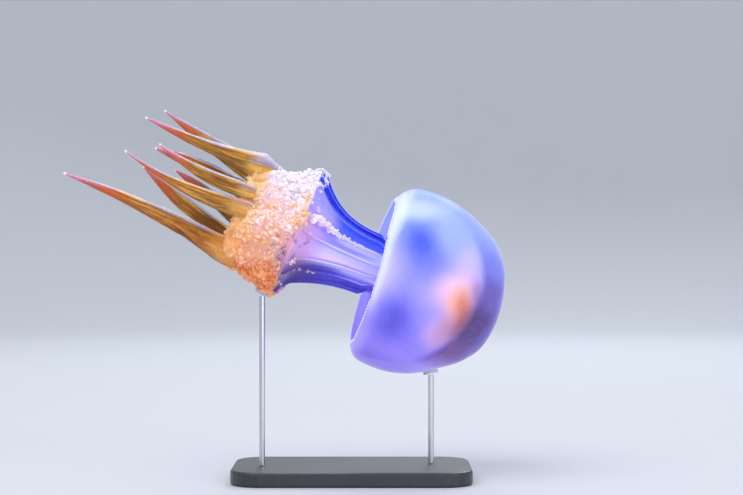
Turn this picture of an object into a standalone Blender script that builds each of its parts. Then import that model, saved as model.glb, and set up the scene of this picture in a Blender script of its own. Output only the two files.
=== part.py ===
"""A flame jellyfish, Rhopilema esculentum, at life size, swimming with its arms trailing, on a display stand.

The animal is built in its own frame: +Z runs up its axis to the top of the bell, +X is its upper side and
+Y its near side. An empty carries that frame and leans it into the swimming pose. Angles round the axis are
measured from +X towards +Y. The stand is built in the world frame, with the underside of its base at z = 0.
"""

import math

import bmesh
import bpy
from mathutils import Matrix, Vector
from mathutils.bvhtree import BVHTree

# Sizes are in metres and angles in degrees.
GAP = 0.0005  # between neighbouring pieces
CLEARANCE = 0.001  # between pieces that face each other along curved surfaces
SHARP_ANGLE = 50.0  # edges sharper than this are shaded sharp

# Pose: the axis dips towards the apex, and turns a little away from the near side.
AXIS_DIP = 23.0
AXIS_TURN = 4.0
OPENING_CENTRE = Vector((0.017, 0.004, 0.1146))

# Bell: a blunt dome over its widest ring, and a skirt below it.
BELL_RADIUS = 0.0508
BELL_OFF = 0.0007  # the radius is this much less on the upper side, and more on the lower
DOME_HEIGHT = 0.0532
DOME_BLUNT = 0.036  # share of the radius by which the dome's shoulder stands out from an ellipse
DOME_LEAN = 0.0014  # of the dome towards the upper side, round LEAN_AT of its height
LEAN_AT = 0.66
LEAN_SPREAD = 0.16
APEX_OFF = 0.0030  # of the very top towards the lower side, above APEX_FROM of the height
APEX_FROM = 0.85
WIDEST_Z = 0.0154
SKIRT_HEIGHT = 0.0385
SKIRT_POWER = 2.0  # of the skirt's curve: 2 is an ellipse
SKIRT_FULLNESS = 0.8  # added to that above and below
MARGIN_CURL = 0.006  # of the margin towards the axis, above and below
CURL_POWER = 6.0  # with which that grows down the skirt
NEAR_SHARE = 0.25  # share of the fullness and the curl at the near and far sides
MARGIN_Z = -0.0049
MARGIN_SLANT = 0.0040  # the margin reaches lower on the upper side of the animal by this much
MARGIN_DIP = 0.0010  # and lower still at this turn from there
MARGIN_DIP_TURN = 60.0
MARGIN_DIP_SPREAD = 20.0
CROWN_JELLY = 0.011  # thickness of the jelly at the apex
WAIST_JELLY = 0.005  # at the widest ring
EDGE_JELLY = 0.0016  # at the margin
BELL_SIDES = 48
BELL_END = 0.86  # share of the skirt that the bell node covers; lappets cover the rest

# Margin: eight groups of lappets between the sense organs.
OCTANTS = 8
LAPPETS_IN_OCTANT = 4
LAPPET_DEPTH = 0.0006
LAPPET_COLUMNS = 12

# Manubrium: the stalk that hangs from the middle of the bell.
STALK_RADIUS = 0.0145
STALK_ROOT_RADIUS = 0.020
STALK_END_Z = -0.0452
STALK_END_RADIUS = 0.026
STALK_FLARE_Z = 0.022  # the root widens above this height
STALK_TRUMPET_Z = -0.004  # and the lower end below this one
STALK_TRUMPET = 2.6  # power of that widening
STALK_ROOT_SHARES = (0.3, 0.65, 1.0)  # rings of its top, as shares of the root radius
STALK_LEVELS = (0.046, 0.040, 0.032, STALK_FLARE_Z, 0.008)
STALK_SIDES = 20

# Scapulets: sixteen upright fins that sweep out from the stalk to the shoulder of the arms.
SCAPULETS = 16
FIN_TOP_Z = -0.004
FIN_TIP_Z = -0.0508
FIN_ROOT_REACH = 0.0178
FIN_TIP_REACH = 0.0378
FIN_SWEEP = 3.1  # power of the outer edge's curve on the upper side
FIN_EARLY = 1.053  # where it is at its full reach before its end
FIN_GENTLE = 0.62  # on the lower side, this share of the reach grows with a gentle curve
FIN_GENTLE_SWEEP = 2.2  # of this power
FIN_FLARE = 30.0  # and the rest with this one, so that the end flares out
FIN_WEB = 0.0016  # thickness of the web
FIN_FRILL = 0.0046  # thickness of the frilled lower edge
FIN_FRILL_GROWTH = 5.0  # power with which the fin thickens downwards to that
FIN_FRILL_INNER = 0.35  # share of the thickening that is there at the stalk
FIN_LEAN = 5.0  # degrees that a fin leans towards its pair's other fin, at the tip
FIN_LIFT = 0.006  # height of its top, along the line of its lower end, over that line
FIN_SHARES = (0.0, 0.32, 0.58, 0.80, 0.94, 1.0)  # of its length, at its rows of points

# Oral arms: eight frilled lobes round the axis, each drawn out into a club with a slender tip.
SHOULDER_Z = -0.0460
ARM_END_Z = -0.0840
ARM_LEVELS = (
    # depth below the shoulder, outer reach, inner reach, share of the arm's sector, share drawn in above
    (0.0000, 0.0150, 0.0016, 1.00, 0.000),
    (0.0028, 0.0262, 0.0016, 1.00, 0.000),
    (0.0056, 0.0374, 0.0016, 1.00, 0.000),
    (0.0105, 0.0374, 0.0016, 1.00, 0.055),
    (0.0165, 0.0357, 0.0030, 1.00, 0.090),
    (0.0230, 0.0342, 0.0080, 0.96, 0.115),
    (0.0290, 0.0332, 0.0130, 0.88, 0.120),
    (0.0340, 0.0326, 0.0170, 0.78, 0.090),
    (0.0380, 0.0318, 0.0195, 0.66, 0.050),
)
ARM_SECTION_POINTS = 16
ARM_SECTION_POWER = 0.5  # of the cosine and sine in a section: 1 would be an ellipse
ARM_SPACING = 1.15  # degrees between an arm's side and the edge of its sector
ARM_LOBES = 0.045  # share by which the frilled lobes stand out and draw in
LOBES_ACROSS = 3.0
LOBES_FROM_LEVEL = 3
LOBE_STEPS = (2.3, 1.9)  # radians that the lobes move on from level to level, and from arm to arm

CLUB_ROOT_REACH = 0.0262
CLUB_TWIST = 0.5  # radians from root to end
CLUB_RIDGES = 3
CLUB_RIDGE = 0.16  # share by which they stand out
CLUB_POINTS = 12
CLUB_RINGS = 7
CLUB_SHARE = 0.62  # of the length; the slender tip takes the rest
TIP_RINGS = 7
TIP_POINTS = 8
TIP_END_RADIUS = 0.0004

# Each arm: its angle round the axis, where its tip ends (up, near, along the axis), how far its middle
# bows (up, near), and how full it is at its end, in its middle and at its root.
ARMS = (
    (13.0, (0.0259, 0.0085, -0.1513), (-0.0012, 0.0015), (0.0070, 0.0032, 0.0066)),
    (68.0, (0.0153, 0.0200, -0.1380), (-0.0031, 0.0030), (0.0048, 0.0070, 0.0034)),
    (90.0, (0.0048, 0.0230, -0.1534), (-0.0036, 0.0030), (0.0012, 0.0066, 0.0044)),
    (160.0, (-0.0190, 0.0120, -0.1798), (0.0026, 0.0010), (0.0078, 0.0050, 0.0069)),
    (231.0, (0.0019, -0.0150, -0.1442), (-0.0020, -0.0020), (0.0110, 0.0078, 0.0034)),
    (258.0, (0.0067, -0.0250, -0.1274), (0.0008, -0.0030), (0.0090, 0.0060, 0.0046)),
    (292.0, (0.0135, -0.0210, -0.1422), (0.0018, -0.0020), (0.0130, 0.0058, 0.0048)),
    (325.0, (0.0344, -0.0120, -0.1448), (-0.0006, -0.0020), (0.0061, 0.0084, 0.0053)),
)

# Stand: a flat base and two rods, each with a pad that the animal rests on.
BASE_LENGTH = 0.130
BASE_WIDTH = 0.074
BASE_HEIGHT = 0.008
BASE_CORNER = 0.016
BASE_CORNER_STEPS = 6
BASE_EDGE = 0.0012
ROD_RADIUS = 0.0016
ROD_SIDES = 14
BELL_ROD = Vector((0.043, 0.004))
ARMS_ROD = Vector((-0.0480, -0.006))
PAD_RADIUS = 0.0042
PAD_THICKNESS = 0.0016
PAD_SIDES = 18

# Colours: base colour, roughness, metallic.
JELLY = ((0.42, 0.43, 0.86), 0.28, 0.0)
LAPPET = ((0.66, 0.64, 0.93), 0.32, 0.0)
STALK = ((0.40, 0.42, 0.90), 0.30, 0.0)
FIN = ((0.30, 0.34, 0.86), 0.28, 0.0)
FRILL = ((0.90, 0.62, 0.55), 0.55, 0.0)
CLUB = ((0.66, 0.44, 0.10), 0.42, 0.0)
TIP = ((0.82, 0.34, 0.34), 0.42, 0.0)
BASE_PAINT = ((0.045, 0.048, 0.055), 0.45, 0.0)
STEEL = ((0.62, 0.62, 0.64), 0.28, 1.0)
PAD_RUBBER = ((0.80, 0.80, 0.82), 0.50, 0.0)


# ------------------------------------------------------------------ scene and mesh helpers


def clear_scene():
    for obj in list(bpy.data.objects):
        bpy.data.objects.remove(obj)


def finish(name, colour, roughness, metallic):
    material = bpy.data.materials.new(name)
    material.use_nodes = True
    shader = material.node_tree.nodes["Principled BSDF"]
    shader.inputs["Base Color"].default_value = (*colour, 1.0)
    shader.inputs["Roughness"].default_value = roughness
    shader.inputs["Metallic"].default_value = metallic
    return material


def animal_frame():
    """The empty that leans the animal's own frame into its swimming pose."""
    dip = math.radians(AXIS_DIP)
    axis = Vector((math.cos(dip), 0.0, -math.sin(dip)))
    upper = Vector((math.sin(dip), 0.0, math.cos(dip)))
    near = axis.cross(upper)
    lean = Matrix((upper, near, axis)).transposed().to_4x4()
    empty = bpy.data.objects.new("animal", None)
    bpy.context.scene.collection.objects.link(empty)
    turn = Matrix.Rotation(math.radians(AXIS_TURN), 4, "Z")
    empty.matrix_world = Matrix.Translation(OPENING_CENTRE) @ turn @ lean
    return empty


def node(name, bm, look, parent=None, location=(0, 0, 0)):
    """An object made from a bmesh, with its own material, as a child of the animal or on its own."""
    bmesh.ops.recalc_face_normals(bm, faces=bm.faces)
    mesh = bpy.data.meshes.new(name)
    bm.to_mesh(mesh)
    bm.free()
    mesh.materials.append(finish(name, *look))
    mesh.shade_smooth()
    mesh.set_sharp_from_angle(angle=math.radians(SHARP_ANGLE))
    obj = bpy.data.objects.new(name, mesh)
    bpy.context.scene.collection.objects.link(obj)
    obj.parent = parent
    obj.location = location
    return obj


def loft(rings, close_ends=True):
    """A closed skin over rings of points, all with the same number of points, with a fan over each end."""
    bm = bmesh.new()
    made = [[bm.verts.new(point) for point in ring] for ring in rings]
    count = len(rings[0])
    for lower, upper in zip(made, made[1:]):
        for i in range(count):
            k = (i + 1) % count
            bm.faces.new((lower[i], lower[k], upper[k], upper[i]))
    if close_ends:
        for ring in (made[0], made[-1]):
            middle = sum((v.co for v in ring), Vector()) / count
            centre = bm.verts.new(middle)
            for i in range(count):
                bm.faces.new((ring[i], ring[(i + 1) % count], centre))
    return bm


def round_the_axis(reach, angle, z):
    return Vector((reach * math.cos(angle), reach * math.sin(angle), z))


def signed_power(value, power):
    return math.copysign(abs(value) ** power, value)


def ease(low, high, value):
    """0 below low, 1 above high, and a smooth step between them."""
    share = min(1.0, max(0.0, (value - low) / (high - low)))
    return share * share * (3.0 - 2.0 * share)


def hump(value, middle, width):
    return math.exp(-(((value - middle) / width) ** 2))


# ------------------------------------------------------------------ bell


def margin_height(angle):
    turn = math.degrees(abs(math.remainder(angle, 2 * math.pi)))
    dip = hump(turn, MARGIN_DIP_TURN, MARGIN_DIP_SPREAD)
    return MARGIN_Z - MARGIN_SLANT * math.cos(angle) - MARGIN_DIP * dip


def radius(angle):
    return BELL_RADIUS - BELL_OFF * math.cos(angle)


def dome_point(share, angle):
    """A point of the dome's outside, from its top at share 0 to the widest ring at share 1."""
    turn = share * math.pi / 2
    rise = math.cos(turn)
    blunt = DOME_BLUNT * math.sin(4 * turn) * rise
    point = round_the_axis(radius(angle) * (math.sin(turn) + blunt), angle, WIDEST_Z + DOME_HEIGHT * rise)
    point.x += DOME_LEAN * hump(rise, LEAN_AT, LEAN_SPREAD) - APEX_OFF * ease(APEX_FROM, 1.0, rise)
    return point


def ceiling_point(share, angle):
    """A point of the dome's inside, which is a part of an ellipse."""
    turn = share * math.pi / 2
    reach = (BELL_RADIUS - BELL_OFF * math.cos(angle) * share - WAIST_JELLY) * math.sin(turn)
    return round_the_axis(reach, angle, WIDEST_Z + (DOME_HEIGHT - CROWN_JELLY) * math.cos(turn))


def skirt_point(share, angle, inside=False):
    """A point of the skirt, from the widest ring at share 0 to the margin at share 1."""
    bulge = NEAR_SHARE + (1.0 - NEAR_SHARE) * math.cos(angle) ** 2
    power = SKIRT_POWER + SKIRT_FULLNESS * bulge
    drop = share * (WIDEST_Z - margin_height(angle))
    reach = radius(angle) * (1.0 - (drop / SKIRT_HEIGHT) ** power) ** (1.0 / power)
    reach -= MARGIN_CURL * bulge * share**CURL_POWER
    if inside:
        reach -= WAIST_JELLY + (EDGE_JELLY - WAIST_JELLY) * share
    return round_the_axis(reach, angle, WIDEST_Z - drop)


def bell_rings():
    """Rings from the inside of the dome out over the margin end and up to the top of the bell."""
    inside_dome = [0.10, 0.28, 0.46, 0.64, 0.82]
    inside_skirt = [0.0, 0.45, BELL_END]
    outside_skirt = [BELL_END, 0.58, 0.29, 0.0]
    outside_dome = [0.86, 0.72, 0.58, 0.44, 0.30, 0.17, 0.06]
    profile = [lambda a, s=s: ceiling_point(s, a) for s in inside_dome]
    profile += [lambda a, s=s: skirt_point(s, a, inside=True) for s in inside_skirt]
    profile += [lambda a, s=s: skirt_point(s, a) for s in outside_skirt]
    profile += [lambda a, s=s: dome_point(s, a) for s in outside_dome]
    turns = [2 * math.pi * i / BELL_SIDES for i in range(BELL_SIDES)]
    return [[point(a) for a in turns] for point in profile]


def make_bell(animal):
    bm = loft(bell_rings(), close_ends=False)
    bm.verts.ensure_lookup_table()
    for first, top in ((0, ceiling_point(0.0, 0.0)), (len(bm.verts) - BELL_SIDES, dome_point(0.0, 0.0))):
        ring = bm.verts[first : first + BELL_SIDES]
        centre = bm.verts.new(top)
        for i in range(BELL_SIDES):
            bm.faces.new((ring[i], ring[(i + 1) % BELL_SIDES], centre))
        bm.verts.ensure_lookup_table()
    return node("bell", bm, JELLY, animal)


def lappet_edge(octant, column):
    """The share of the skirt that the scalloped edge reaches at a column of an octant."""
    turn = LAPPETS_IN_OCTANT * math.pi * column / LAPPET_COLUMNS
    return 1.0 - LAPPET_DEPTH / SKIRT_HEIGHT * (1.0 - abs(math.sin(turn)))


def make_lappets(animal):
    octant_turn = 2 * math.pi / OCTANTS
    notch = GAP / BELL_RADIUS
    start = BELL_END + GAP / (WIDEST_Z - MARGIN_Z)
    for octant in range(OCTANTS):
        columns = []
        for column in range(LAPPET_COLUMNS + 1):
            share = column / LAPPET_COLUMNS
            angle = (octant + 0.5) * octant_turn + notch + share * (octant_turn - 2 * notch)
            edge = lappet_edge(octant, column)
            columns.append([
                skirt_point(start, angle),
                skirt_point(edge, angle),
                skirt_point(edge, angle, inside=True),
                skirt_point(start, angle, inside=True),
            ])
        node(f"margin_lappets_{octant + 1}", loft(columns), LAPPET, animal)


# ------------------------------------------------------------------ manubrium and scapulets


def ceiling_height(reach):
    """Height of the bell's inside over a point of the stalk's root, less the clearance."""
    share = math.asin(reach / (BELL_RADIUS - WAIST_JELLY)) * 2 / math.pi
    return ceiling_point(share, math.pi / 2).z - CLEARANCE


def stalk_reach(z):
    """Radius of the stalk at a height: it widens at its root and, like a trumpet, towards its lower end."""
    flare = max(0.0, (z - STALK_FLARE_Z) / (ceiling_height(STALK_ROOT_RADIUS) - STALK_FLARE_Z))
    trumpet = max(0.0, (STALK_TRUMPET_Z - z) / (STALK_TRUMPET_Z - STALK_END_Z))
    root = (STALK_ROOT_RADIUS - STALK_RADIUS) * flare**2
    return STALK_RADIUS + root + (STALK_END_RADIUS - STALK_RADIUS) * trumpet**STALK_TRUMPET


def fin_root_height(share):
    """Height at which a scapulet meets the stalk, at a share of its length."""
    return FIN_TOP_Z + (STALK_END_Z - FIN_TOP_Z) * share


def make_manubrium(animal):
    turns = [2 * math.pi * i / STALK_SIDES for i in range(STALK_SIDES)]
    rings = [
        [round_the_axis(STALK_ROOT_RADIUS * share, a, ceiling_height(STALK_ROOT_RADIUS * share)) for a in turns]
        for share in STALK_ROOT_SHARES
    ]
    for z in (*STALK_LEVELS, *(fin_root_height(share) for share in FIN_SHARES)):
        rings.append([round_the_axis(stalk_reach(z), a, z) for a in turns])
    below = shoulder_height(STALK_END_RADIUS) + CLEARANCE
    rings.append([round_the_axis(STALK_END_RADIUS, a, below) for a in turns])
    rings.append([round_the_axis(STALK_RADIUS, a, SHOULDER_Z + CLEARANCE) for a in turns])
    node("manubrium", loft(rings), STALK, animal)


def fin_edge(share, angle):
    """How far a scapulet's outer edge reaches, at a share of its length."""
    upper = 0.5 + 0.5 * math.cos(angle)
    even = min(1.0, FIN_EARLY * share) ** FIN_SWEEP
    flared = FIN_GENTLE * share**FIN_GENTLE_SWEEP + (1.0 - FIN_GENTLE) * share**FIN_FLARE
    return FIN_ROOT_REACH + (FIN_TIP_REACH - FIN_ROOT_REACH) * (upper * even + (1.0 - upper) * flared)


def shoulder_height(reach):
    """Height of the shoulder of the oral arms at a distance from the axis."""
    first, third = ARM_LEVELS[0], ARM_LEVELS[2]
    slope = third[0] / (third[1] - first[1])
    return SHOULDER_Z - slope * max(0.0, reach - first[1])


def make_scapulets(animal):
    for number in range(SCAPULETS):
        base_angle = math.radians(number * 360 / SCAPULETS)
        lean = math.radians(FIN_LEAN) * (1 if number % 2 else -1)
        sections = []
        for share in FIN_SHARES:
            inner_z = fin_root_height(share)
            inner = stalk_reach(inner_z) + GAP
            outer = fin_edge(share, base_angle)
            out = (outer - STALK_END_RADIUS) / (FIN_TIP_REACH - STALK_END_RADIUS)
            lower_end = STALK_END_Z + (FIN_TIP_Z - STALK_END_Z) * out
            outer_z = max(FIN_TOP_Z + (FIN_TIP_Z - FIN_TOP_Z) * share, lower_end + FIN_LIFT * (1.0 - share))
            section = []
            for side in (1, -1):
                for part in (0.0, 0.5, 1.0) if side > 0 else (1.0, 0.5, 0.0):
                    reach = inner + (outer - inner) * part
                    z = max(inner_z + (outer_z - inner_z) * part, shoulder_height(reach) + CLEARANCE)
                    grown = share**FIN_FRILL_GROWTH * (FIN_FRILL_INNER + (1.0 - FIN_FRILL_INNER) * part)
                    half = 0.5 * (FIN_WEB + (FIN_FRILL - FIN_WEB) * grown)
                    angle = base_angle + lean * (reach - STALK_RADIUS) / (FIN_TIP_REACH - STALK_RADIUS)
                    point = round_the_axis(reach, angle, z)
                    sideways = Vector((-math.sin(angle), math.cos(angle), 0.0))
                    section.append(point + sideways * side * half)
            sections.append(section)
        node(f"scapulet_{number + 1:02d}", loft(sections), FIN, animal)


# ------------------------------------------------------------------ oral arms


def sector(index):
    """(angle of the middle, half the angle) of an oral arm's sector, up to halfway to each neighbour."""
    count = len(ARMS)
    here = ARMS[index][0]
    before = ARMS[index - 1][0] - (360.0 if index == 0 else 0.0)
    after = ARMS[(index + 1) % count][0] + (360.0 if index == count - 1 else 0.0)
    low, high = (before + here) / 2, (here + after) / 2
    return math.radians((low + high) / 2), math.radians((high - low) / 2)


def make_oral_arms(animal):
    spacing = math.radians(ARM_SPACING)
    for index, (own_angle, _, _, _) in enumerate(ARMS):
        middle, half = sector(index)
        rings = []
        for level, (depth, outer, inner, share, drawn) in enumerate(ARM_LEVELS):
            drawn_in = (1.0 - share) / (1.0 - ARM_LEVELS[-1][3])
            centre = middle + (math.radians(own_angle) - middle) * drawn_in
            spread = min(share * half, half - spacing - abs(centre - middle))
            ring = []
            for i in range(ARM_SECTION_POINTS):
                turn = 2 * math.pi * i / ARM_SECTION_POINTS
                along = signed_power(math.cos(turn), ARM_SECTION_POWER)
                out = signed_power(math.sin(turn), ARM_SECTION_POWER)
                reach = (outer + inner) / 2 + (outer - inner) / 2 * out
                if level >= LOBES_FROM_LEVEL:
                    phase = LOBE_STEPS[0] * level + LOBE_STEPS[1] * index
                    lobes = ARM_LOBES * math.sin(phase) * math.cos(LOBES_ACROSS * along + index)
                    reach *= 1.0 + lobes * max(0.0, out)
                angle = centre + spread * along
                reach *= 1.0 - drawn * max(0.0, math.cos(angle)) ** 2
                ring.append(round_the_axis(reach, angle, SHOULDER_Z - depth))
            rings.append(ring)
        node(f"oral_arm_{index + 1}", loft(rings), FRILL, animal)


def club_width(index, share):
    """Half width of a club and tip, from its root at share 0 to its end at share 1."""
    at_end, in_middle, at_root = ARMS[index][3]
    left = 1.0 - share
    return TIP_END_RADIUS + left * (at_end * share**2 + 2 * in_middle * share * left + at_root * left**2)


def arm_line(index, share):
    """Centre of a club and tip, at a share of the way from its root to its end."""
    own_angle, end, bow, _ = ARMS[index]
    root = round_the_axis(CLUB_ROOT_REACH, math.radians(own_angle), ARM_END_Z - GAP)
    point = root.lerp(Vector(end), share)
    swell = 4 * share * (1 - share)
    point.x += bow[0] * swell
    point.y += bow[1] * swell
    return point


def club_ring(index, share, count):
    """A level ridged section of a club or tip."""
    own_angle = math.radians(ARMS[index][0])
    centre = arm_line(index, share)
    width = club_width(index, share)
    twist = own_angle + CLUB_TWIST * share
    ring = []
    for i in range(count):
        turn = 2 * math.pi * i / count
        reach = width * (1.0 + CLUB_RIDGE * math.cos(CLUB_RIDGES * turn) * (1.0 - share))
        ring.append(centre + round_the_axis(reach, turn + twist, 0.0))
    return ring


def make_clubs(animal):
    for index, (_, end, _, _) in enumerate(ARMS):
        shares = [CLUB_SHARE * i / CLUB_RINGS for i in range(CLUB_RINGS + 1)]
        club = [club_ring(index, share, CLUB_POINTS) for share in shares]
        node(f"arm_club_{index + 1}", loft(club), CLUB, animal)
        step = GAP / (ARM_END_Z - end[2])
        first = CLUB_SHARE + step
        shares = [first + (1.0 - first) * (i / TIP_RINGS) for i in range(TIP_RINGS + 1)]
        tip = [club_ring(index, share, TIP_POINTS) for share in shares]
        node(f"arm_tip_{index + 1}", loft(tip), TIP, animal)


# ------------------------------------------------------------------ stand


def surface_over(spot, obj):
    """(point, normal) where a line straight up from a spot on the base first meets an object."""
    bm = bmesh.new()
    bm.from_mesh(obj.data)
    bm.transform(obj.matrix_world)
    bm.normal_update()
    tree = BVHTree.FromBMesh(bm)
    bm.free()
    point, normal, _, _ = tree.ray_cast(Vector((spot.x, spot.y, 0.0)), Vector((0, 0, 1)))
    return point, normal if normal.z < 0 else -normal


def cylinder(low, high, radius, sides):
    """A closed cylinder between two points."""
    axis = (high - low).normalized()
    across = axis.orthogonal().normalized()
    other = axis.cross(across)
    rings = []
    for end in (low, high):
        turns = [2 * math.pi * i / sides for i in range(sides)]
        rings.append([end + radius * (across * math.cos(t) + other * math.sin(t)) for t in turns])
    return loft(rings)


def make_base():
    bm = bmesh.new()
    half_x, half_y = BASE_LENGTH / 2 - BASE_CORNER, BASE_WIDTH / 2 - BASE_CORNER
    outline = []
    for corner, (sx, sy) in enumerate(((1, 1), (-1, 1), (-1, -1), (1, -1))):
        for step in range(BASE_CORNER_STEPS + 1):
            turn = math.radians(90 * corner + 90 * step / BASE_CORNER_STEPS)
            x = sx * half_x + BASE_CORNER * math.cos(turn)
            y = sy * half_y + BASE_CORNER * math.sin(turn)
            outline.append(bm.verts.new((x, y, 0.0)))
    face = bm.faces.new(outline)
    raised = bmesh.ops.extrude_face_region(bm, geom=[face])
    top = [part for part in raised["geom"] if isinstance(part, bmesh.types.BMVert)]
    bmesh.ops.translate(bm, verts=top, vec=(0, 0, BASE_HEIGHT))
    obj = node("stand_base", bm, BASE_PAINT)
    bevel = obj.modifiers.new("edge", "BEVEL")
    bevel.width = BASE_EDGE
    bevel.segments = 2
    bevel.limit_method = "ANGLE"
    return obj


def make_rod(name, spot, rests):
    """A rod from the base up to a pad that lies against the animal's underside."""
    bpy.context.view_layer.update()
    point, normal = surface_over(spot, rests)
    pad_top = point + normal * GAP
    pad_low = pad_top + normal * PAD_THICKNESS
    node(f"stand_pad_{name}", cylinder(pad_low, pad_top, PAD_RADIUS, PAD_SIDES), PAD_RUBBER)
    tilt = math.sqrt(1.0 - normal.z**2)
    top = pad_low.z - GAP - ROD_RADIUS * tilt / abs(normal.z)
    spot_up = Vector((pad_low.x, pad_low.y, 0.0))
    low = spot_up + Vector((0, 0, BASE_HEIGHT + GAP))
    high = spot_up + Vector((0, 0, top))
    node(f"stand_rod_{name}", cylinder(low, high, ROD_RADIUS, ROD_SIDES), STEEL)


def main():
    clear_scene()
    animal = animal_frame()
    bell = make_bell(animal)
    make_lappets(animal)
    make_manubrium(animal)
    make_scapulets(animal)
    make_oral_arms(animal)
    make_clubs(animal)
    make_base()
    bpy.context.view_layer.update()
    make_rod("bell", BELL_ROD, bell)
    make_rod("arms", ARMS_ROD, bpy.data.objects["oral_arm_4"])


main()
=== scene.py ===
"""The looks of the flame jellyfish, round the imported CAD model.

One skin stands for all the nodes of flesh: the bell, the stalk with its scapulets, the crown of oral arms
and the clubs. Frills of small curled folds lie over the crown, as joined solid meshes. Shapes are worked
out in the animal's own frame, as in the CAD: +Z up its axis to the top of the bell, +X its upper side, +Y
its near side, and angles round the axis from +X towards +Y. Lengths are in metres, and colours are sRGB hex.
"""

import math

import bmesh
import bpy
import numpy as np
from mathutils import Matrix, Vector, noise


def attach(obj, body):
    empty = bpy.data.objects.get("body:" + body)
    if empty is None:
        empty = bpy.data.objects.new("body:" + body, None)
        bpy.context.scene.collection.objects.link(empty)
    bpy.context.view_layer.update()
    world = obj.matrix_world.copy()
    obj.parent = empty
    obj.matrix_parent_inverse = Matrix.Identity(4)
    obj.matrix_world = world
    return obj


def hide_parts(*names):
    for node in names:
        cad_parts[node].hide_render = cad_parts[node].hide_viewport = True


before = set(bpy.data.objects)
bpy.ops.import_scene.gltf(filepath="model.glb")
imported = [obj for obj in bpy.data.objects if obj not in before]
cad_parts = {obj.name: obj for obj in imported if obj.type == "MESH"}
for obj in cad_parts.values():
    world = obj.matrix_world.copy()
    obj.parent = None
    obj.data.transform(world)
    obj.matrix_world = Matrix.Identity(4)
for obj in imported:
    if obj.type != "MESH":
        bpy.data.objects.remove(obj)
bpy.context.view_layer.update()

# -------- sizes, most of them as in the CAD

BELL_RADIUS = 0.0508
BELL_OFF = 0.0007  # the radius is this much less on the upper side, and more on the lower
DOME_HEIGHT = 0.0532
DOME_BLUNT = 0.036  # share of the radius by which the dome's shoulder stands out
DOME_LEAN = 0.0014  # of the dome towards the upper side, at two thirds of its height
APEX_OFF = 0.0030  # of its very top, towards the lower side
WIDEST_Z = 0.0154
SKIRT_HEIGHT = 0.0385
MARGIN_Z = -0.0049
MARGIN_SLANT = 0.0040
MARGIN_DIP = 0.0010  # of the margin, at either side of the upper side
MARGIN_DIP_TURN = 60.0
FULLNESS = 0.8
MARGIN_CURL = 0.006
CROWN_JELLY = 0.011
WAIST_JELLY = 0.005
EDGE_JELLY = 0.0016
LAPPETS = 128
LAPPET_DEPTH = 0.0005
NOTCH_DEPTH = 0.0005
LIP_ROUND = 0.0003

STALK_RADIUS = 0.0145
STALK_END_Z = -0.0452
STALK_END_RADIUS = 0.026
STALK_TRUMPET_Z = -0.004
STALK_TRUMPET = 2.6
STALK_LOWEST_Z = -0.04775
SCAPULETS = 16
FIN_TOP_Z = -0.004
FIN_TIP_Z = -0.0508
FIN_ROOT_REACH = 0.0178
FIN_TIP_REACH = 0.0376
FIN_SWEEP = 3.1
FIN_EARLY = 1.053
FIN_GENTLE = 0.62
FIN_GENTLE_SWEEP = 2.2
FIN_FLARE = 30.0
FIN_LIFT = 0.006
FIN_LEAN = 5.0
FIN_WEB = 0.00034  # half the thickness of a fin, without its swollen root
FIN_SWELL = 0.0011
FIN_BEAD = 0.0005  # radius of its rounded edge
FIN_BEAD_AT = 0.86  # share of the way out to the bead's middle
FIN_ROOT = 0.0013  # half its width where it meets the stalk
ROOT_SHARE = 0.44  # of the dome's inside, where the stalk's root leaves it
ROOT_END_Z = 0.036
ROOT_SWELL = 0.0005
PILLAR_SWELL = 0.0030
KNEE_Z = 0.0505  # of the fillet between the ceiling and the stalk's root
KNEE_SWELL = 0.0020
KNEE_PILLAR_SWELL = 0.0035
KNEE_PILLAR_DROP = 0.003

# (height, reach, share drawn in on the upper side) of the crown's outside, from the rim down
CROWN_OUTSIDE = np.array((
    (-0.0516, 0.0374, 0.000), (-0.0565, 0.0374, 0.055), (-0.0625, 0.0357, 0.090), (-0.0690, 0.0342, 0.115),
    (-0.0750, 0.0332, 0.120), (-0.0800, 0.0326, 0.090), (-0.0840, 0.0318, 0.050),
))
# (share of the rim's reach, depth) of the crown's underside, from its rounded rim up into its hollow
CROWN_UNDER = (
    (0.965, 0.0012), (0.90, 0.0022), (0.82, 0.0026), (0.74, 0.0022), (0.66, 0.0008), (0.60, -0.0012),
    (0.54, -0.0036), (0.48, -0.0064), (0.41, -0.0092), (0.34, -0.0118), (0.26, -0.0142), (0.18, -0.0160),
    (0.10, -0.0172), (0.04, -0.0178),
)
ARM_END_Z = -0.0840
CLUB_ROOT_REACH = 0.0262
# (angle round the axis, place of the tip, bow, fullness at the end, middle and root) of each arm's club
ARMS = (
    (13.0, (0.0259, 0.0085, -0.1513), (-0.0012, 0.0015), (0.0070, 0.0032, 0.0066)),
    (68.0, (0.0153, 0.0200, -0.1380), (-0.0031, 0.0030), (0.0048, 0.0070, 0.0034)),
    (90.0, (0.0048, 0.0230, -0.1534), (-0.0036, 0.0030), (0.0012, 0.0066, 0.0044)),
    (160.0, (-0.0190, 0.0120, -0.1798), (0.0026, 0.0010), (0.0078, 0.0050, 0.0069)),
    (231.0, (0.0019, -0.0150, -0.1442), (-0.0020, -0.0020), (0.0110, 0.0078, 0.0034)),
    (258.0, (0.0067, -0.0250, -0.1274), (0.0008, -0.0030), (0.0090, 0.0060, 0.0046)),
    (292.0, (0.0135, -0.0210, -0.1422), (0.0018, -0.0020), (0.0130, 0.0058, 0.0048)),
    (325.0, (0.0344, -0.0120, -0.1448), (-0.0006, -0.0020), (0.0061, 0.0084, 0.0053)),
)
TIP_END_RADIUS = 0.0004
COAT_DEPTH = 0.0019  # of the frills over the crown
FRILLS_START_Z = -0.0500
BARE_FLANK = 0.0085  # the frills start this much lower on the flanks
FRILLS_END_Z = -0.0800  # the frills reach down to here at the flanks
FRILLS_SLANT = 0.0040  # and end this much higher on the upper side, and lower on the lower
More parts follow.
